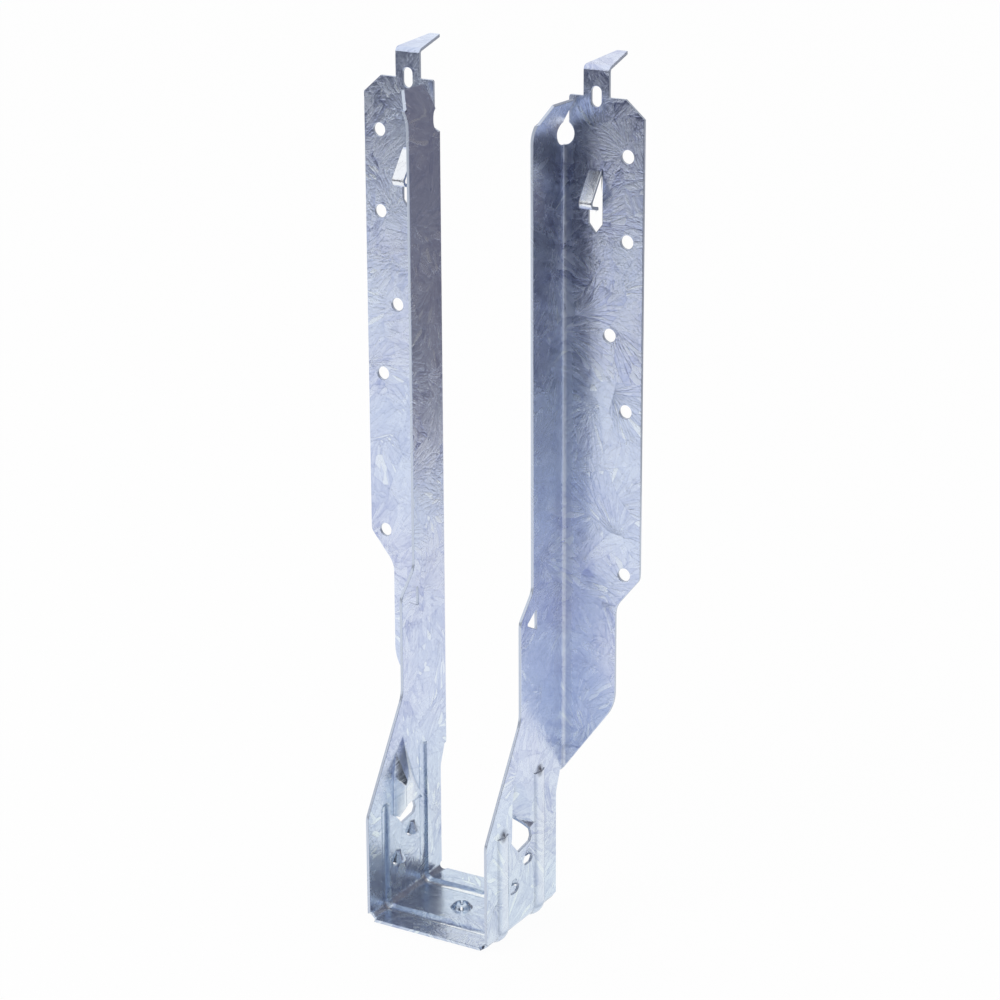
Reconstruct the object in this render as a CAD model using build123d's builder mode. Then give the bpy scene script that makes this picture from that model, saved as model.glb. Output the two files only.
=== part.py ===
"""A face-mounted joist hanger, folded from one sheet of galvanised steel.

Millimetres. +X is across the joist and +Z is up. Y = 0 is the header's face, with the joist in
front of it at negative Y. The origin is the centre of the four outer face nails.
"""
import os
from math import cos, radians, sin

from build123d import *

# Sheet and folds
sheet = 1.2
bend_radius = 1.4            # inside radius of the fold between a side plate and its flange
seat_bend_radius = 2.5       # inside radius of the fold between a side plate and the seat

# Joist pocket
inside_width = 47.0
reach = 54.0                 # header's face to the front of the seat
header_top = 300.0           # bearing surface of the seat to the underside of the top tabs
seat_back_gap = 5.7          # header's face to the back of the seat

# A size called a height is taken up from the seat, one called a drop is taken down from header_top,
# and one called a depth is taken forward from the header's face.

# Side plates
toe_height = 38.3            # top of the upright front edge beside the seat
neck_depth = 30.2
neck_bottom = 76.4
neck_top = 112.5
upper_depth = 21.7
upper_bottom = 121.5
back_step_bottom = 40.5
fold_bottom = 48.0           # lowest point of the fold between side plate and header flange
toe_round = 4.0
neck_round = 10.0
jog_round = 5.0
back_step_round = 5.0

# Lead-in lips at the top of the side plates
lip_drop = 23.0              # where the side plate begins to curl outwards
lip_bend_radius = 12.0
lip_angle = 29.0
lip_straight = 7.2
lip_back_gap = 3.1
lip_corner_rise = 6.4        # start of the curl to the corner of the lip's front edge
lip_corner_step = 1.3
lip_slant_rise = 14.3        # start of the curl to the point that the slanted front edge aims at
lip_slant_depth = 15.1

# Header flanges
flange_edge = 54.8           # middle of the hanger to the outer edge of a flange
lower_edge = 45.5
flange_neck_bottom = 76.2
flange_neck_top = 113.0
flange_wide_bottom = 124.5
shoulder_drop = 9.3
corner_cut_width = 7.0
corner_cut_height = 6.1
slit_edge = 26.5             # middle of the hanger to a flange's inner edge above the relief hole
lower_round = 16.0
jog_concave_round = 8.0
jog_convex_round = 3.5
slit_corner_round = 0.8

# Relief hole where the fold ends at the top
relief_radius = 4.1
relief_drop = 22.4
relief_from_header = 1.7     # its centre as seen from the side
relief_from_joist = 0.9      # its centre as seen from the front, from the plate's inner face

# Nails through the header flanges
nail_radius = 2.35
nail_column = 48.7
inner_nail_column = 42.3
nail_drops = (28.4, 57.2, 116.0)
lowest_nail_height = 125.4
inner_nail_drop = 90.1

# Top tabs, bent back over the header
tab_column = 36.8
tab_width = 9.8
tab_end_width = 4.2
tab_reach = 17.0
tab_rise = 8.0               # degrees short of lying flat
tab_bend_radius = 0.9
tab_slot_width = 3.85
tab_slot_length = 6.9
tab_corner_round = 0.8

# Speed prongs, cut from the flanges and bent forward
prong_column = 36.7
prong_width = 4.8
prong_gap = 0.2              # between a prong and each side of its slot
prong_hinge_drop = 33.7
prong_flat_length = 21.7
prong_point = 3.2
prong_forward = 8.9          # header's face to the corner of the prong's outer bend
prong_drop = 11.4            # hinge to the same corner
prong_return_drop = 2.0
prong_tip_gap = 0.4          # header's face to the tip
prong_bend_radius = 1.5

# Grip in each side plate, pressed inwards to hold the joist's lower flange
# Corners are (depth, height) pairs; the foot lies on the plate and the crest is pressed in furthest.
grip_press = 4.8
grip_wall = 0.9
grip_foot = ((37.9, 28.5), (37.1, 48.0), (35.6, 57.0), (30.8, 62.0), (19.8, 34.6))
grip_crest = ((36.6, 37.3), (36.7, 45.0), (35.7, 46.8), (34.0, 47.5), (25.2, 36.8))
grip_hem_height = 32.8       # the swell is sheared off below this
window_sill = ((37.1, 33.2), (32.1, 28.0), (24.2, 29.2), (23.2, 30.8))
window_arch = (24.9, 35.2)
window_lip = ((27.5, 38.4), (35.6, 37.6))

# Scoops for the slanting joist nails: half cones pressed inwards with their mouths facing down
joist_nails = ((25.7, 23.3), (35.2, 15.7))       # (depth, height) of each mouth
scoop_half_width = 4.0
scoop_press = 2.4
scoop_rise = 3.0             # mouth to the scoop's top
scoop_top = 0.4              # size of the top as a part of the mouth's
scoop_hang = 27.0            # degrees by which the mouth slopes down towards the joist
scoop_wall = 0.9
scoop_hole_half_width = 3.2
scoop_hole_drop = 2.2        # mouth to the lowest point of the hole below it
scoop_hole_round = 2.0

# Three-cornered hole beside the upper jog
eyelet = ((19.5, 114.6), (19.2, 106.8), (26.2, 110.4))
eyelet_round = 0.6

# Stiffening beads, grooves inside the pocket and ribs outside
beads = ((43.0, 38.2), (17.9, 53.5))             # (depth, height of the upper end)
rib_width = 7.8
groove_width = 5.6
bead_height = 1.1

# Corner relief and the nail hole in the seat
corner_relief_radius = 1.7
seat_hole_radius = 2.3
crown_base_radius = 3.8
crown_top_radius = 2.8
crown_height = 1.5
crown_teeth = 6
crown_notch = 0.7

half_width = inside_width / 2
outer_face = half_width + sheet
outer_radius = bend_radius + sheet
seat_outer_radius = seat_bend_radius + sheet
overlap = 0.3                # how far added metal reaches into the sheet it grows from
fold_depth = outer_radius + overlap
lip_bottom = header_top - lip_drop
relief_height = header_top - relief_drop
shoulder = header_top - shoulder_drop
nail_heights = [header_top - drop for drop in nail_drops] + [lowest_nail_height]
seat_level = -(max(nail_heights) + min(nail_heights)) / 2

front_view = Plane(origin=(0, 0, seat_level), x_dir=(1, 0, 0), z_dir=(0, -1, 0))
side_view = Plane(origin=(0, 0, seat_level), x_dir=(0, 1, 0), z_dir=(1, 0, 0))
plan_view = Plane(origin=(0, 0, seat_level))


def fill_outline(corners):
    """Fill a closed outline given as (point, corner radius) pairs."""
    with BuildLine() as outline:
        FilletPolyline(
            *[point for point, radius in corners],
            radius=[radius for point, radius in corners],
            close=True,
        )
    make_face(outline.edges())


def bead_form(depth, top, width, face, floor, fold):
    """The swell of one bead over one face of the folded sheet, from mid-seat to its domed end."""
    side = width / 2
    crest_radius = (side**2 + bead_height**2) / (2 * bead_height)
    with BuildPart() as form:
        with BuildLine(front_view.offset(depth)) as route:
            FilletPolyline((0, floor), (face, floor), (face, top), radius=fold)
        with BuildSketch(side_view):
            with BuildLine():
                ThreePointArc((-depth - side, floor), (-depth, floor - bead_height), (-depth + side, floor))
                Polyline(
                    (-depth + side, floor),
                    (-depth + side, floor + overlap),
                    (-depth - side, floor + overlap),
                    (-depth - side, floor),
                )
            make_face()
        sweep(path=route.line)
        with BuildSketch(plan_view.offset(top)):
            with BuildLine():
                RadiusArc((face + bead_height, -depth), (face, side - depth), crest_radius)
                Polyline(
                    (face, side - depth),
                    (face - overlap, side - depth),
                    (face - overlap, -depth),
                    (face + bead_height, -depth),
                )
            make_face()
        revolve(axis=Axis((0, -depth, seat_level + top), (1, 0, 0)))
    return form.part


# Half of the seat with its side plate: a half U run forward from the header fold, cut to the
# plate's outline as seen from the side.
plate_outline = [
    ((-reach, -2 * sheet), 0),
    ((-reach, toe_height), toe_round),
    ((-neck_depth, neck_bottom), neck_round),
    ((-neck_depth, neck_top), jog_round),
    ((-upper_depth, upper_bottom), jog_round),
    ((-upper_depth, lip_bottom), 0),
    ((0, lip_bottom), 0),
    ((0, fold_bottom), 0),
    ((-fold_depth, fold_bottom), 0),
    ((-seat_back_gap, back_step_bottom), back_step_round),
    ((-seat_back_gap, -2 * sheet), 0),
]
with BuildPart() as plate:
    with BuildSketch(front_view.offset(fold_depth)):
        fill_outline([
            ((0, 0), 0),
            ((half_width, 0), seat_bend_radius),
            ((half_width, lip_bottom), 0),
            ((outer_face, lip_bottom), 0),
            ((outer_face, -sheet), seat_outer_radius),
            ((0, -sheet), 0),
        ])
    extrude(amount=reach - fold_depth)
    with BuildSketch(side_view):
        fill_outline(plate_outline)
    extrude(amount=outer_face, mode=Mode.INTERSECT)

# Header flange with its fold: an L in plan, cut to the outline seen from the front.
tab_inner = tab_column - tab_width / 2
tab_outer = tab_column + tab_width / 2
tab_bend_start = header_top - tab_bend_radius
relief_column = half_width + relief_from_joist
with BuildPart() as flange:
    with BuildSketch(plan_view.offset(fold_bottom)):
        fill_outline([
            ((half_width, -fold_depth), 0),
            ((half_width, 0), outer_radius),
            ((flange_edge, 0), 0),
            ((flange_edge, -sheet), 0),
            ((outer_face, -sheet), bend_radius),
            ((outer_face, -fold_depth), 0),
        ])
    extrude(amount=header_top - fold_bottom)
    with BuildSketch(front_view):
        fill_outline([
            ((half_width, fold_bottom), 0),
            ((outer_face, fold_bottom), 0),
            ((lower_edge, flange_neck_bottom), lower_round),
            ((lower_edge, flange_neck_top), jog_concave_round),
            ((flange_edge, flange_wide_bottom), jog_convex_round),
            ((flange_edge, shoulder - corner_cut_height), 0),
            ((flange_edge - corner_cut_width, shoulder), 0),
            ((tab_outer, shoulder), 0),
            ((tab_outer, tab_bend_start), 0),
            ((tab_inner, tab_bend_start), 0),
            ((tab_inner, shoulder), 0),
            ((slit_edge, shoulder), slit_corner_round),
            ((slit_edge, relief_height), 0),
            ((half_width, relief_height), 0),
        ])
        with Locations((relief_column, relief_height)):
            Circle(relief_radius, mode=Mode.SUBTRACT)
        with Locations(*[(nail_column, height) for height in nail_heights]):
            Circle(nail_radius, mode=Mode.SUBTRACT)
        with Locations((inner_nail_column, header_top - inner_nail_drop)):
            Circle(nail_radius, mode=Mode.SUBTRACT)
        with Locations((tab_column, shoulder)):
            SlotOverall(tab_slot_length, tab_slot_width, rotation=90, mode=Mode.SUBTRACT)
    extrude(amount=fold_depth, mode=Mode.INTERSECT)

# Lead-in lip, curled outwards above the side plate.
with BuildPart() as lip:
    with BuildSketch(front_view.offset(lip_back_gap)):
        with BuildLine():
            curl = JernArc((half_width + sheet / 2, lip_bottom), (0, 1), lip_bend_radius + sheet / 2, -lip_angle)
            PolarLine(curl @ 1, lip_straight, direction=curl % 1)
        trace(line_width=sheet)
    extrude(amount=upper_depth - lip_back_gap)
    lip_corner = lip_bottom + lip_corner_rise
    lip_end = lip_bottom + lip_slant_rise
    with BuildSketch(side_view.offset(half_width)):
        fill_outline([
            ((-upper_depth, lip_bottom - sheet), 0),
            ((-upper_depth, lip_corner), 0),
            ((lip_corner_step - upper_depth, lip_corner), 0),
            ((-lip_slant_depth, lip_end), 0),
            ((-lip_back_gap, lip_end), 0),
            ((-lip_back_gap, lip_bottom - sheet), 0),
        ])
        with Locations((-relief_from_header, relief_height)):
            Circle(relief_radius, mode=Mode.SUBTRACT)
    extrude(amount=lip_bend_radius, mode=Mode.INTERSECT)

# Top tab: carries on from the flange, bends back over the header and narrows to its end.
with BuildPart() as tab:
    with BuildSketch(side_view.offset(tab_inner)):
        with BuildLine():
            roll = JernArc((-sheet / 2, tab_bend_start), (0, 1), tab_bend_radius + sheet / 2, tab_rise - 90)
            leg = (tab_reach - (roll @ 1).X) / cos(radians(tab_rise))
            PolarLine(roll @ 1, leg, direction=roll % 1)
        trace(line_width=sheet)
    extrude(amount=tab_width)
    with BuildSketch(plan_view.offset(tab_bend_start)):
        fill_outline([
            ((tab_inner, -sheet), 0),
            ((tab_outer, -sheet), 0),
            ((tab_outer, tab_bend_radius), 0),
            ((tab_column + tab_end_width / 2, tab_reach), tab_corner_round),
            ((tab_column - tab_end_width / 2, tab_reach), tab_corner_round),
            ((tab_inner, tab_bend_radius), 0),
        ])
    extrude(amount=tab_reach, mode=Mode.INTERSECT)

# Speed prong: leaves the flange at its hinge, slants forward and turns its point to the header.
prong_hinge = header_top - prong_hinge_drop
prong_turn_height = prong_hinge - prong_drop
prong_slot_bottom = prong_hinge - prong_flat_length
with BuildPart() as prong_slot:
    with BuildSketch(front_view):
        side = prong_width / 2 + prong_gap
        fill_outline([
            ((prong_column - side, prong_hinge), 0),
            ((prong_column + side, prong_hinge), 0),
            ((prong_column + side, prong_slot_bottom + prong_point), 0),
            ((prong_column, prong_slot_bottom), 0),
            ((prong_column - side, prong_slot_bottom + prong_point), 0),
        ])
    extrude(amount=sheet)
with BuildPart() as prong:
    with BuildSketch(side_view.offset(prong_column - prong_width / 2)):
        with BuildLine():
            FilletPolyline(
                (-sheet / 2, prong_hinge + sheet),
                (-sheet / 2, prong_hinge),
                (-prong_forward, prong_turn_height),
                (-prong_tip_gap, prong_turn_height - prong_return_drop),
                radius=prong_bend_radius,
            )
        trace(line_width=sheet)
    extrude(amount=prong_width)
    with BuildSketch(plan_view.offset(prong_turn_height)):
        for hand in (-1, 1):
            edge = prong_column + hand * (prong_width / 2 + prong_gap)
            fill_outline([
                ((edge, -prong_tip_gap - prong_point), 0),
                ((prong_column, -prong_tip_gap), 0),
                ((prong_column, sheet), 0),
                ((edge, sheet), 0),
            ])
    extrude(amount=-prong_return_drop - 2 * sheet, mode=Mode.SUBTRACT)

# Grip: a lopsided swell into the pocket, hollow behind, with a window under its lip.
hem_plane = plan_view.offset(grip_hem_height)
with BuildSketch(side_view.offset(half_width + overlap)) as grip_base:
    fill_outline([((-depth, height), 0) for depth, height in grip_foot])
with BuildSketch(side_view.offset(half_width - grip_press)) as grip_top:
    fill_outline([((-depth, height), 0) for depth, height in grip_crest])
with BuildSketch(side_view.offset(outer_face + overlap)) as hollow_base:
    fill_outline([((-depth, height), 0) for depth, height in grip_foot])
    offset(amount=-grip_wall, kind=Kind.INTERSECTION)
with BuildSketch(side_view.offset(outer_face - grip_press)) as hollow_top:
    fill_outline([((-depth, height), 0) for depth, height in grip_crest])
    offset(amount=-grip_wall, kind=Kind.INTERSECTION)
with BuildPart() as grip:
    loft(sections=[grip_base.sketch, grip_top.sketch], ruled=True)
    split(bisect_by=hem_plane)
with BuildPart() as grip_hollow:
    loft(sections=[hollow_base.sketch, hollow_top.sketch], ruled=True)
    split(bisect_by=hem_plane)
with BuildPart() as grip_window:
    with BuildSketch(side_view.offset(outer_face)):
        with BuildLine():
            sill = Polyline(*[(-depth, height) for depth, height in window_sill])
            lip_line = Polyline(*[(-depth, height) for depth, height in window_lip])
            ThreePointArc(sill @ 1, (-window_arch[0], window_arch[1]), lip_line @ 0)
            Line(lip_line @ 1, sill @ 0)
        make_face()
    extrude(amount=-sheet - grip_press)


def scoop_form(depth, height, face, press, side):
    """Half dome from one face of the sheet towards the joist, its top up and its mouth facing down."""
    hang = radians(scoop_hang)
    origin = Vector(face, -depth, seat_level + height)
    mouth = Plane(origin, x_dir=(0, 1, 0), z_dir=(-sin(hang), 0, cos(hang)))
    top = Plane(origin + Vector(0, 0, scoop_rise), x_dir=(0, 1, 0), z_dir=(0, 0, 1))
    with BuildPart() as form:
        for plane, reach_in, half in (
            (mouth, press / cos(hang), side),
            (top, press * scoop_top, side * scoop_top),
        ):
            with BuildSketch(plane):
                with BuildLine():
                    ThreePointArc((-half, 0), (0, reach_in), (half, 0))
                    Line((half, 0), (-half, 0))
                make_face()
        loft()
    return form.part


# One half of the hanger: the sheet with all that grows from it, then all that is cut or sunk.
with BuildPart() as half:
    add(plate.part)
    add(flange.part)
    add(lip.part)
    add(tab.part)
    add(prong_slot.part, mode=Mode.SUBTRACT)
    add(prong.part)
    add(grip.part)
    for depth, height in joist_nails:
        add(scoop_form(depth, height, half_width + overlap, scoop_press + overlap, scoop_half_width))
    for depth, top in beads:
        add(bead_form(depth, top, rib_width, outer_face, -sheet, seat_outer_radius))
    for depth, top in beads:
        add(bead_form(depth, top, groove_width, half_width, 0, seat_bend_radius), mode=Mode.SUBTRACT)
    add(grip_hollow.part, mode=Mode.SUBTRACT)
    add(grip_window.part, mode=Mode.SUBTRACT)
    dent = sheet + scoop_press - scoop_wall
    for depth, height in joist_nails:
        hollow = scoop_form(depth, height, outer_face + overlap, dent + overlap, scoop_hole_half_width)
        add(hollow, mode=Mode.SUBTRACT)
    with BuildSketch(side_view.offset(half_width - overlap)):
        for depth, height in joist_nails:
            fill_outline([
                ((-depth - scoop_hole_half_width, height), 0),
                ((-depth + scoop_hole_half_width, height), 0),
                ((-depth + scoop_hole_half_width, height - scoop_hole_drop), scoop_hole_round),
                ((-depth - scoop_hole_half_width, height - scoop_hole_drop), scoop_hole_round),
            ])
        with Locations((-relief_from_header, relief_height)):
            Circle(relief_radius)
        fill_outline([((-depth, height), eyelet_round) for depth, height in eyelet])
    extrude(amount=sheet + 2 * overlap, mode=Mode.SUBTRACT)
    with Locations(*[(half_width, -depth, seat_level) for depth in (reach, seat_back_gap)]):
        Cylinder(corner_relief_radius, 4 * sheet, rotation=(0, 135, 0), mode=Mode.SUBTRACT)

# The whole hanger, with the raised crown that the punch left round the seat's nail hole.
seat_hole_depth = (beads[0][0] + beads[1][0]) / 2
with BuildPart() as hanger:
    add(half.part)
    mirror(about=Plane.YZ)
    with Locations((0, -seat_hole_depth, seat_level)):
        Cone(crown_base_radius, crown_top_radius, crown_height, align=(Align.CENTER, Align.CENTER, Align.MIN))
        with PolarLocations(crown_base_radius, crown_teeth):
            Box(
                crown_base_radius,
                crown_notch,
                crown_height,
                align=(Align.CENTER, Align.CENTER, Align.MIN),
                mode=Mode.SUBTRACT,
            )
        Cylinder(seat_hole_radius, 4 * sheet, mode=Mode.SUBTRACT)

hanger.part.label = "joist_hanger"
os.makedirs("parts", exist_ok=True)
export_step(hanger.part, "parts/joist_hanger.step")
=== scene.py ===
"""The joist hanger, dressed as hot-dip galvanised sheet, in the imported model's frame."""
from math import radians

import bpy
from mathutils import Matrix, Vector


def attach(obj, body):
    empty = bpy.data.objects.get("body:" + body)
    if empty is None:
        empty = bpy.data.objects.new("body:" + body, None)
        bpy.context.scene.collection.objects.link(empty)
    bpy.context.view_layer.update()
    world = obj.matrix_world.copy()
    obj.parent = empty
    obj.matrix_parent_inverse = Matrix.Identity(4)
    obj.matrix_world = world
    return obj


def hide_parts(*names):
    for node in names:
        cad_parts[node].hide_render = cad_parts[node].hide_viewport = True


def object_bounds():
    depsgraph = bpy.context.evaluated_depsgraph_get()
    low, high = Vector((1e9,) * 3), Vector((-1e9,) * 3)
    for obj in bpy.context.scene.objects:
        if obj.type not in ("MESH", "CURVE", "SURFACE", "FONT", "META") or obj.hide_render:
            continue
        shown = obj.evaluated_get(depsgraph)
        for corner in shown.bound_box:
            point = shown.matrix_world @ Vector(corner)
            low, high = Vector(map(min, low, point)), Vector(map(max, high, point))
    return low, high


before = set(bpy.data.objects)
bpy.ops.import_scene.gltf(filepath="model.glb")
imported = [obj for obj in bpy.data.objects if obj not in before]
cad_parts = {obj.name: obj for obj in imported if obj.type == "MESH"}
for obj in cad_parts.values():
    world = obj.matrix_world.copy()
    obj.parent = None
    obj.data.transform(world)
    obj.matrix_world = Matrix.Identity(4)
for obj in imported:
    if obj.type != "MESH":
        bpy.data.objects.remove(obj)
cad_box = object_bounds()
scene = bpy.context.scene
scene.view_settings.view_transform = "Standard"
bpy.ops.object.select_all(action="DESELECT")

# The camera stands to the right and in front of the hanger, a little above its top, with a long
# lens. The picture's middle lies low and to the left of the lens's axis, hence the small shifts.
image_pixels = 1000
focal_pixels = 2843.4
axis_pixel = (519.8, 425.9)
sensor_width = 36
bpy.ops.object.camera_add(
    location=(0.48236, -0.81561, 0.26052),
    rotation=(radians(73.117), 0, radians(30.251)),
)
camera = bpy.context.object
camera.name = "camera"
camera.rotation_euler.rotate_axis("Z", radians(-0.125))
camera.data.sensor_width = sensor_width
camera.data.lens = sensor_width * focal_pixels / image_pixels
camera.data.shift_x = 0.5 - axis_pixel[0] / image_pixels
camera.data.shift_y = axis_pixel[1] / image_pixels - 0.5
camera.data.clip_start = 0.05
scene.camera = camera


# The studio is a white floor under white soft light. The floor and the world look plain white to
# the camera and in the metal's reflections, and the floor still takes the hanger's shadow.
class Shade:
    """A node socket that Python's arithmetic works on: each operator adds one Math node."""

    def __init__(self, tree, socket=None):
        self.tree = tree
        self.socket = socket

    def node(self, kind, settings=None, inputs=None, output=0):
        """Add a node, set it up, and join or set its inputs."""
        made = self.tree.nodes.new(kind)
        for name, value in (settings or {}).items():
            setattr(made, name, value)
        for name, value in (inputs or {}).items():
            if isinstance(value, Shade):
                self.tree.links.new(value.socket, made.inputs[name])
            else:
                made.inputs[name].default_value = value
        return Shade(self.tree, made.outputs[output])

    def part(self, name):
        """Another output of the same node."""
        return Shade(self.tree, self.socket.node.outputs[name])

    def feed(self, socket):
        """Join this value to a socket of a shader or of the material's output."""
        self.tree.links.new(self.socket, socket)

    def math(self, operation, *values, clamp=False):
        settings = {"operation": operation, "use_clamp": clamp}
        return self.node("ShaderNodeMath", settings, dict(enumerate((self, *values))))

    def __add__(self, other):
        return self.math("ADD", other)

    def __radd__(self, other):
        return self.math("ADD", other)

    def __sub__(self, other):
        return self.math("SUBTRACT", other)

    def __rsub__(self, other):
        return self.math("MULTIPLY_ADD", -1.0, other)

    def __mul__(self, other):
        return self.math("MULTIPLY", other)

    def __rmul__(self, other):
        return self.math("MULTIPLY", other)

    def step(self, low, high):
        """0 below low, 1 above high, and a smooth rise between."""
        values = {"Value": self, "From Min": low, "From Max": high, "To Min": 0.0, "To Max": 1.0}
        return self.node("ShaderNodeMapRange", {"interpolation_type": "SMOOTHSTEP"}, values)

    def mix(self, first, second, blend="MIX"):
        """From the first colour to the second as this value goes from 0 to 1."""
        settings = {"data_type": "RGBA", "blend_type": blend}
        return self.node("ShaderNodeMix", settings, {0: self, 6: first, 7: second}, output=2)


def show_white(tree, lit, plain_kind, share, end):
    """Lay plain white over a lit shader: all of it in reflections, a share of it to the camera."""
    path = Shade(tree).node("ShaderNodeLightPath", output="Is Camera Ray")
    seen = path * share
    for name in ("Is Glossy Ray", "Is Transmission Ray"):
        seen = seen.math("MAXIMUM", path.part(name))
    plain = seen.node(plain_kind, inputs={"Color": (1, 1, 1, 1), "Strength": 1.0})
    lit_shader = Shade(tree, tree.nodes[lit].outputs[0])
    joined = seen.node("ShaderNodeMixShader", inputs={0: seen, 1: lit_shader, 2: plain})
    joined.feed(tree.nodes[end].inputs["Surface"])


world = bpy.data.worlds.new("studio")
scene.world = world
world.use_nodes = True
sky = world.node_tree
sky.nodes["Background"].inputs["Color"].default_value = (1, 1, 1, 1)
sky.nodes["Background"].inputs["Strength"].default_value = 0.75
show_white(sky, "Background", "ShaderNodeBackground", 1.0, "World Output")

floor_gap = 0.0002
bpy.ops.mesh.primitive_plane_add(size=6, location=(0, 0, cad_box[0][2] - floor_gap))
floor = bpy.context.object
floor.name = "floor"
paint = bpy.data.materials.new("studio_floor")
paint.use_nodes = True
floor.data.materials.append(paint)
bpy.ops.object.select_all(action="DESELECT")
matt = paint.node_tree.nodes["Principled BSDF"]
matt.inputs["Base Color"].default_value = (0.9, 0.9, 0.9, 1)
matt.inputs["Roughness"].default_value = 0.9
show_white(paint.node_tree, "Principled BSDF", "ShaderNodeEmission", 0.96, "Material Output")

bpy.ops.object.light_add(
    type="AREA",
    location=(-0.6, -1.3, 1.2),
    rotation=(radians(52), 0, radians(-25)),
)
lamp = bpy.context.object
lamp.name = "soft_box"
lamp.data.size = 1.0
lamp.data.energy = 9
lamp.visible_glossy = False
bpy.ops.object.select_all(action="DESELECT")

# Three dark boards stand half a metre off, as a photographer sets them up for bright metal, and
# only the metal mirrors them. The one behind darkens the plates, the low one in front the tops of
# the flanges, and the one by the lens the corner between right plate and right flange.
boards = {
    "rear_board": ((0.25, 0.43, 0.20), (1.3, 0.80), 30, (0.20, 0.185, 0.21)),
    "front_board": ((-0.36, -0.62, 0.065), (1.1, 0.30), 30, (0.06, 0.065, 0.09)),
    "lens_board": ((0.28, -0.48, 0.20), (1.3, 0.80), -30, (0.012, 0.018, 0.035)),
}
for name, (middle, size, turn, cloth_colour) in boards.items():
    bpy.ops.mesh.primitive_plane_add(
        size=1,
        location=middle,
        rotation=(radians(90), 0, radians(-turn)),
    )
    board = bpy.context.object
    board.name = name
    board.scale = (size[0], size[1], 1)
    cloth = bpy.data.materials.new(name)
    cloth.use_nodes = True
    glow = Shade(cloth.node_tree).node("ShaderNodeEmission", inputs={"Color": (*cloth_colour, 1)})
    glow.feed(cloth.node_tree.nodes["Material Output"].inputs["Surface"])
    board.data.materials.append(cloth)
    for ray in ("camera", "diffuse", "shadow", "transmission", "volume_scatter"):
        setattr(board, "visible_" + ray, False)
    bpy.ops.object.select_all(action="DESELECT")

# The hanger itself is one blank, sheared and pierced from galvanised sheet and then folded. The
# shears round its corners over a little, so a copy of the solid gets that rounding. A face with
# more behind it than the sheet is thick is a cut one, and is marked for the finish below.
pocket_half_width = 0.0235
plate_outside = 0.0247
cut_depth = 0.0021
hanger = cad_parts["joist_hanger"]
blank = bpy.data.objects.new("folded_sheet", hanger.data.copy())
scene.collection.objects.link(blank)
bpy.context.view_layer.objects.active = blank
blank.select_set(True)
bpy.ops.object.mode_set(mode="EDIT")
bpy.ops.mesh.select_all(action="SELECT")
bpy.ops.mesh.remove_doubles(threshold=1e-6)
bpy.ops.mesh.dissolve_limited(angle_limit=radians(0.1))
bpy.ops.mesh.customdata_custom_splitnormals_clear()
bpy.ops.object.mode_set(mode="OBJECT")
cut = blank.data.attributes.new("cut_face", "FLOAT", "FACE")
for face in blank.data.polygons:
    inward = -face.normal
    far_side = blank.ray_cast(face.center + inward * 1e-5, inward)[1]
    deep = (far_side - face.center).length > cut_depth
    on_plate = abs(face.center.x) > pocket_half_width - 1e-4
    cut.data[face.index].value = 1.0 if deep and on_plate else 0.0
burr = blank.modifiers.new("rounded_over", "BEVEL")
burr.width = 0.00025
burr.material = 1
burr.segments = 2
burr.limit_method = "ANGLE"
burr.angle_limit = radians(50)
burr.use_clamp_overlap = False
bpy.ops.object.modifier_apply(modifier=burr.name)
bpy.ops.object.shade_smooth_by_angle(angle=radians(28))
flats = blank.modifiers.new("flat_faces_stay_flat", "WEIGHTED_NORMAL")
flats.keep_sharp = True
bpy.ops.object.modifier_apply(modifier=flats.name)
bpy.ops.object.select_all(action="DESELECT")
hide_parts("joist_hanger")
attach(blank, "root")

# The rounded corners of the cuts have lost their zinc and are bare steel. They are painted nearly
# black, painted shade for the dark line along a rounded edge, and mottled lighter here and there.
corner = bpy.data.materials.new("sheared_corner")
corner.use_nodes = True
rim = corner.node_tree.nodes["Principled BSDF"]
rim.inputs["Metallic"].default_value = 0.9
where = Shade(corner.node_tree).node("ShaderNodeTexCoord", output="Object")
edge_mottle = where.node("ShaderNodeTexNoise", inputs={"Vector": where, "Scale": 260.0, "Detail": 2.0})
# Painted shade: the rounded corners are coloured nearly black, with lighter patches.
painted_dark_edge = edge_mottle.step(0.4, 0.75).mix((0.04, 0.05, 0.07, 1), (0.20, 0.22, 0.28, 1))
painted_dark_edge.feed(rim.inputs["Base Color"])
(edge_mottle * 0.3 + 0.35).feed(rim.inputs["Roughness"])

# Zinc freezes on the flat strip before it is folded, so its flowers are laid out on the unfolded
# sheet: across runs from the header's fold over plate or flange, along runs up and over the tabs.
zinc = bpy.data.materials.new("galvanised_sheet")
zinc.use_nodes = True
blank.data.materials.clear()
blank.data.materials.append(zinc)
blank.data.materials.append(corner)
tree = zinc.node_tree
skin = tree.nodes["Principled BSDF"]
where = Shade(tree).node("ShaderNodeTexCoord", output="Object")
x = where.node("ShaderNodeSeparateXYZ", inputs={"Vector": where}, output="X")
y = x.part("Y")
z = x.part("Z")
from_middle = x.math("ABSOLUTE")
off_plate = from_middle - plate_outside
across = -1.0 * y.math("MINIMUM", 0.0) - off_plate.math("MAXIMUM", 0.0)
along = z + off_plate.math("MINIMUM", 0.0) + y.math("MAXIMUM", 0.0)
side = x.math("SIGN") * 0.4
flat = across.node("ShaderNodeCombineXYZ", inputs={"X": across, "Y": along, "Z": side})
voronoi = "ShaderNodeTexVoronoi"
to_border = {"feature": "DISTANCE_TO_EDGE"}


def vector(operation, *values, output="Vector"):
    """One Vector Math node."""
    settings = {"operation": operation}
    return flat.node("ShaderNodeVectorMath", settings, dict(enumerate(values)), output)


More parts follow.
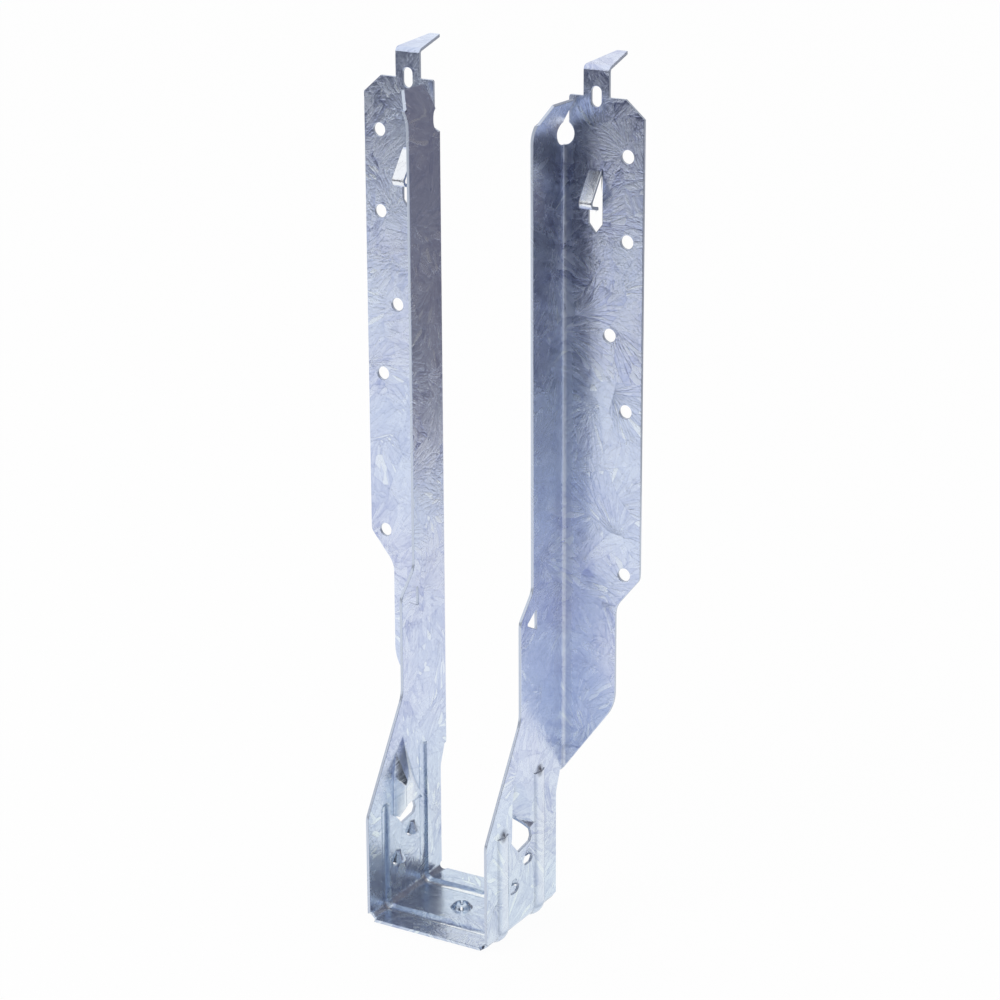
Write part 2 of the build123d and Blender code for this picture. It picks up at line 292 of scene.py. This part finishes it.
def flowers(size, seed, fineness):
    """Crystals of about the given size.

    Gives the grid that they grow on, two random numbers for each crystal, the fan of needles that
    spreads over it from a root outside, and a random number for each blade of that fan.
    """
    full_turn = 6.283
    noise = {"Vector": flat, "Scale": 0.6 / size, "Detail": 0.0}
    warp = flat.node("ShaderNodeTexNoise", inputs=noise, output="Color")
    moved = vector("MULTIPLY_ADD", warp, (size * 0.5, size * 0.5, 0.0), flat)
    moved = vector("ADD", moved, (seed, seed * 1.7, 0.0))
    grid = {"Vector": moved, "Scale": 1 / size, "Randomness": 1.0}
    cells = moved.node(voronoi, inputs=grid, output="Color")
    lot = cells.node("ShaderNodeSeparateColor", inputs={"Color": cells}, output="Red")
    second = lot.part("Green")
    turn = lot * full_turn
    outside = {"X": turn.math("COSINE") * (size * 0.8), "Y": turn.math("SINE") * (size * 0.8)}
    outside = turn.node("ShaderNodeCombineXYZ", inputs=outside)
    root = vector("ADD", vector("SUBTRACT", moved, cells.part("Position")), outside)
    length = vector("LENGTH", root, output="Value")
    heading = vector("NORMALIZE", root)
    depth = {"Z": length * (2.2 / size) + second * 40.0}
    depth = length.node("ShaderNodeCombineXYZ", inputs=depth)
    ray = vector("MULTIPLY_ADD", heading, (fineness, fineness, 0.0), depth)
    blades = {"Vector": ray, "Scale": 1.0, "Randomness": 1.0}
    blade = ray.node(voronoi, inputs=blades, output="Color")
    ridge = blade.part("Distance")
    shade = blade.node("ShaderNodeSeparateColor", inputs={"Color": blade}, output="Red")
    barbs = ray.node("ShaderNodeTexNoise", inputs={"Vector": ray, "Scale": 2.6, "Detail": 1.0})
    parting = 1.0 - ray.node(voronoi, to_border, {"Vector": ray, "Scale": 1.0}).step(0.0, 0.09)
    fan = shade * 0.6 + (1.0 - ridge) * 0.3 + (barbs - 0.5) * 0.5 - parting * 0.10
    return grid, second, lot.part("Blue"), fan, shade


broad_grid, broad, broad_pick, broad_fan, blade = flowers(0.015, 0.0, 9.0)
small, small_pick, small_fan = flowers(0.0065, 3.0, 5.5)[1:4]
cloud = flat.node("ShaderNodeTexNoise", inputs={"Vector": flat, "Scale": 28.0, "Detail": 3.0})
fine = flat.node("ShaderNodeTexNoise", inputs={"Vector": flat, "Scale": 900.0, "Detail": 2.0})

# Needles show as light and dark strokes, stronger in some crystals than in others. A few blades
# lie so that they flash, and thin dark lines part some of the big crystals.
broad_needles = (broad_fan - 0.5) * (0.3 + broad_pick * 0.6)
small_needles = (small_fan - 0.5) * (0.12 + small_pick * 0.35)
strokes = broad_needles + small_needles + (broad - 0.5) * 0.2 + (small - 0.5) * 0.12
flash = blade.step(0.92, 0.935) * broad_pick.step(0.35, 0.4) * (1.0 - cloud.step(0.5, 0.6))
border = flat.node(voronoi, to_border, broad_grid)
seam = (1.0 - border.step(0.0, 0.035)) * fine.step(0.35, 0.6) * 0.4
crisp = cloud.step(0.38, 0.62) * 0.85 + 0.6
tone = strokes * crisp + 0.78 + (cloud - 0.5) * 0.3 + (fine - 0.5) * 0.2 - seam * 0.4

# Dark specks of dross are strewn thinly. The zinc is bluish, cloudy with lilac in places, and a
# little greenish round the seat.
strewn = {"Vector": flat, "Scale": 120.0, "Randomness": 1.0}
strewn = flat.node(voronoi, inputs=strewn, output="Color")
chance = strewn.node("ShaderNodeSeparateColor", inputs={"Color": strewn}, output="Red")
speck = (1.0 - strewn.part("Distance").step(0.03, 0.085)) * chance.step(0.84, 0.86)
tone = (tone - speck * 0.5).math("MAXIMUM", 0.0, clamp=True)
light_zinc = (0.77, 0.85, 1.0, 1)
dark_zinc = (0.32, 0.39, 0.64, 1)
flashing_zinc = (0.86, 0.93, 1.0, 1)
cloudy_zinc = (0.58, 0.56, 0.74, 1)
greenish = (0.94, 1.0, 0.88, 1)
low = 1.0 - along.step(-0.185, -0.12)
colour = tone.mix(dark_zinc, light_zinc)
colour = (flash * 0.65).mix(colour, flashing_zinc)
colour = (cloud.step(0.35, 0.7) * 0.25).mix(colour, cloudy_zinc)
colour = (low * 0.5).mix(colour, greenish, blend="MULTIPLY")

# Light and shade are painted into the colour here. The grips get a painted highlight along their
# lower wall and painted shade above it, the ribs a painted highlight on their crests and painted
# shade on their flanks, the grooves across the seat a painted highlight, each rib's upper end a
# dot of painted shade, and the prongs a painted highlight.
seat_over_floor = 0.0023
grip_face = 0.0233
front_groove, rear_groove = 0.0436, 0.0175
rib_tops = ((0.0430, 0.0385), (0.0179, 0.0538))
prong_sides = ((0.0094, 0.0096), (0.0145, 0.0147))
height = z - (cad_box[0][2] + seat_over_floor)
inside = grip_face - from_middle
# The grip's lower front wall gets a painted highlight, and its upper slope painted shade.
on_grip = inside.step(0.0, 0.0015) * height.step(0.026, 0.03)
painted_grip_highlight = on_grip * (1.0 - height.step(0.040, 0.052)) * across.step(0.028, 0.034)
painted_grip_shade = on_grip * height.step(0.044, 0.056)
proud = off_plate * (1.0 - height.step(0.054, 0.058)) * height.step(0.001, 0.004)
# The ribs' crests get a painted highlight, and the foot of their flanks painted shade.
painted_crest_highlight = proud.step(0.0006, 0.001)
painted_flank_shade = proud.step(0.00002, 0.0001) * (1.0 - proud.step(0.0003, 0.0007))
to_front = (across - front_groove).math("ABSOLUTE")
to_rear = (across - rear_groove).math("ABSOLUTE")
in_groove = 1.0 - to_front.math("MINIMUM", to_rear).step(0.0005, 0.0011)
# The grooves across the seat get a painted highlight, and the same mask also makes them smoother.
painted_groove_highlight = in_groove * (1.0 - height.step(0.0008, 0.003)) * inside.step(-0.001, 0.001)
in_prong = off_plate.step(*prong_sides[0]) * (1.0 - off_plate.step(*prong_sides[1]))
# The prongs' bent-out faces get a painted highlight.
painted_prong_highlight = (-1.0 * y).step(0.0013, 0.0020) * in_prong
# The painted highlights and painted shade from the masks above are mixed into the colour.
colour = (painted_grip_highlight * 0.7).mix(colour, (0.93, 0.97, 1.0, 1))
colour = (painted_grip_shade * 0.6).mix(colour, (0.27, 0.29, 0.27, 1))
colour = (painted_crest_highlight * 0.3).mix(colour, (0.92, 0.96, 1.0, 1))
colour = (painted_flank_shade * 0.3).mix(colour, (0.20, 0.24, 0.34, 1))
colour = (painted_groove_highlight * 0.85).mix(colour, (0.97, 1.0, 1.0, 1))
colour = (painted_prong_highlight * 0.8).mix(colour, (0.97, 0.99, 1.0, 1))
# Each rib's upper end gets a soft dot of painted shade on the outside of the plate.
for rib_depth, rib_top in rib_tops:
    aside = (across - rib_depth).math("POWER", 2.0)
    above = (height - rib_top).math("POWER", 2.0)
    near = 1.0 - (aside + above).math("SQRT").step(0.0008, 0.0026)
    painted_rib_end_shade = near * (from_middle - 0.0246).step(0.0, 0.00005)
    colour = (painted_rib_end_shade * 0.6).mix(colour, (0.12, 0.13, 0.17, 1))

# The shears leave cut faces that are plain grey, duller than the flowered sheet, and without its
# relief. The sheet is a little rougher along the fold to the header.
sheared = flat.node("ShaderNodeAttribute", {"attribute_name": "cut_face"}, output="Fac")
sheared = sheared.step(0.4, 0.6)
colour = sheared.mix(colour, (0.56, 0.62, 0.74, 1))
relief = {"Strength": 0.4, "Distance": 0.0003, "Height": strokes * (1.0 - sheared)}
relief = strokes.node("ShaderNodeBump", inputs=relief)
folded = 1.0 - across.math("ABSOLUTE").step(0.0012, 0.0032)
colour.feed(skin.inputs["Base Color"])
(0.93 - sheared * 0.5).feed(skin.inputs["Metallic"])
(tone * 0.2 + 0.09 + folded * 0.12 - painted_groove_highlight * 0.12).feed(skin.inputs["Roughness"])
relief.feed(skin.inputs["Normal"])
